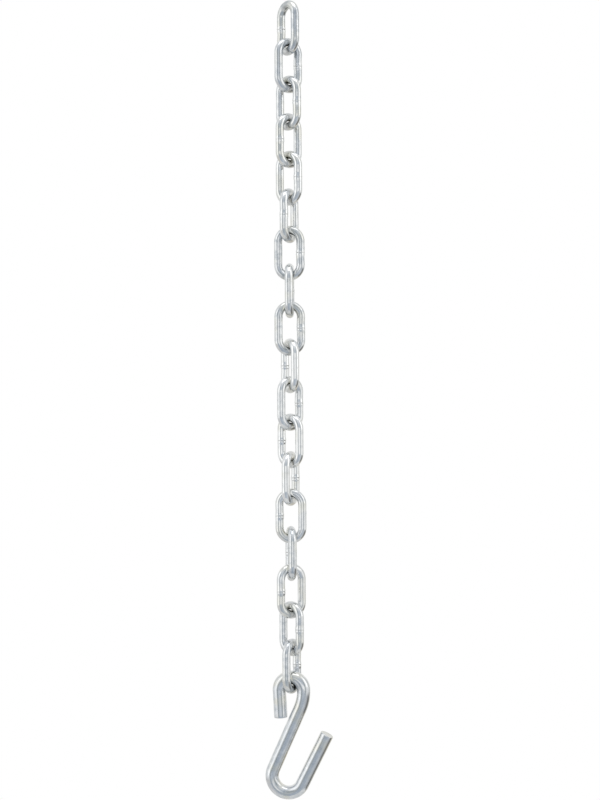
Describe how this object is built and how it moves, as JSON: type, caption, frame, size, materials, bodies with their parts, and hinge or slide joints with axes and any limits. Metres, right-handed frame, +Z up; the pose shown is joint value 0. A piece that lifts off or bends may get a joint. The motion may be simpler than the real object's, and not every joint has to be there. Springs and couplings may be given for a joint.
{
  "type": "safety chain hook",
  "caption": "Zinc-plated welded steel safety chain for a trailer, hanging straight, with an open S-hook closed round its lowest link.",
  "frame": {"origin": "the bearing point inside the top bow of the first link, where a bolt or shackle carries the chain", "axes": "+Z up along the hanging chain, +X to the viewer's right across the S-hook's flat side, +Y away from the viewer"},
  "size_m": [0.0569, 0.0264, 0.6703],
  "materials": {
    "zinc_chain": "bright zinc plate on drawn wire",
    "zinc_hook": "bright zinc plate on bar bent cold"
  },
  "bodies": {
    "link_01": {"link_01": "zinc_chain"},
    "link_02": {"link_02": "zinc_chain"},
    "link_03": {"link_03": "zinc_chain"},
    "link_04": {"link_04": "zinc_chain"},
    "link_05": {"link_05": "zinc_chain"},
    "link_06": {"link_06": "zinc_chain"},
    "link_07": {"link_07": "zinc_chain"},
    "link_08": {"link_08": "zinc_chain"},
    "link_09": {"link_09": "zinc_chain"},
    "link_10": {"link_10": "zinc_chain"},
    "link_11": {"link_11": "zinc_chain"},
    "link_12": {"link_12": "zinc_chain"},
    "link_13": {"link_13": "zinc_chain"},
    "link_14": {"link_14": "zinc_chain"},
    "link_15": {"link_15": "zinc_chain"},
    "link_16": {"link_16": "zinc_chain"},
    "link_17": {"link_17": "zinc_chain"},
    "link_18": {"link_18": "zinc_chain"},
    "s_hook": {"s_hook": "zinc_hook"}
  },
  "joints": [
    {"name": "swing_02", "type": "hinge", "parent": "link_01", "child": "link_02", "pos_m": [0, 0, -0.03545], "axis": [0.5807, -0.8141, 0], "range_deg": [-120, 120]},
    {"name": "swing_03", "type": "hinge", "parent": "link_02", "child": "link_03", "pos_m": [0, 0, -0.06695], "axis": [-0.7604, -0.6494, 0], "range_deg": [-120, 120]},
    {"name": "swing_04", "type": "hinge", "parent": "link_03", "child": "link_04", "pos_m": [0, 0, -0.09845], "axis": [-0.6884, 0.7254, 0], "range_deg": [-120, 120]},
    {"name": "swing_05", "type": "hinge", "parent": "link_04", "child": "link_05", "pos_m": [0, 0, -0.12995], "axis": [0.6947, 0.7193, 0], "range_deg": [-120, 120]},
    {"name": "swing_06", "type": "hinge", "parent": "link_05", "child": "link_06", "pos_m": [0, 0, -0.16145], "axis": [0.8434, -0.5373, 0], "range_deg": [-120, 120]},
    {"name": "swing_07", "type": "hinge", "parent": "link_06", "child": "link_07", "pos_m": [0, 0, -0.19295], "axis": [-0.3665, -0.9304, 0], "range_deg": [-120, 120]},
    {"name": "swing_08", "type": "hinge", "parent": "link_07", "child": "link_08", "pos_m": [0, 0, -0.22445], "axis": [-0.9863, 0.165, 0], "range_deg": [-120, 120]},
    {"name": "swing_09", "type": "hinge", "parent": "link_08", "child": "link_09", "pos_m": [0, 0, -0.25595], "axis": [-0.1045, 0.9945, 0], "range_deg": [-120, 120]},
    {"name": "swing_10", "type": "hinge", "parent": "link_09", "child": "link_10", "pos_m": [0, 0, -0.28745], "axis": [0.9367, 0.3502, 0], "range_deg": [-120, 120]},
    {"name": "swing_11", "type": "hinge", "parent": "link_10", "child": "link_11", "pos_m": [0, 0, -0.31895], "axis": [0.5446, -0.8387, 0], "range_deg": [-120, 120]},
    {"name": "swing_12", "type": "hinge", "parent": "link_11", "child": "link_12", "pos_m": [0, 0, -0.35045], "axis": [-0.7071, -0.7071, 0], "range_deg": [-120, 120]},
    {"name": "swing_13", "type": "hinge", "parent": "link_12", "child": "link_13", "pos_m": [0, 0, -0.38195], "axis": [-0.848, 0.5299, 0], "range_deg": [-120, 120]},
    {"name": "swing_14", "type": "hinge", "parent": "link_13", "child": "link_14", "pos_m": [0, 0, -0.41345], "axis": [0.2924, 0.9563, 0], "range_deg": [-120, 120]},
    {"name": "swing_15", "type": "hinge", "parent": "link_14", "child": "link_15", "pos_m": [0, 0, -0.44495], "axis": [0.9998, -0.0175, 0], "range_deg": [-120, 120]},
    {"name": "swing_16", "type": "hinge", "parent": "link_15", "child": "link_16", "pos_m": [0, 0, -0.47645], "axis": [0.3007, -0.9537, 0], "range_deg": [-120, 120]},
    {"name": "swing_17", "type": "hinge", "parent": "link_16", "child": "link_17", "pos_m": [0, 0, -0.50795], "axis": [-0.809, -0.5878, 0], "range_deg": [-120, 120]},
    {"name": "swing_18", "type": "hinge", "parent": "link_17", "child": "link_18", "pos_m": [0, 0, -0.53945], "axis": [-0.809, 0.5878, 0], "range_deg": [-120, 120]},
    {"name": "hook_swing", "type": "hinge", "parent": "link_18", "child": "s_hook", "pos_m": [0, 0, -0.57095], "axis": [-0.225, -0.9744, 0], "range_deg": [-120, 120]}
  ]
}
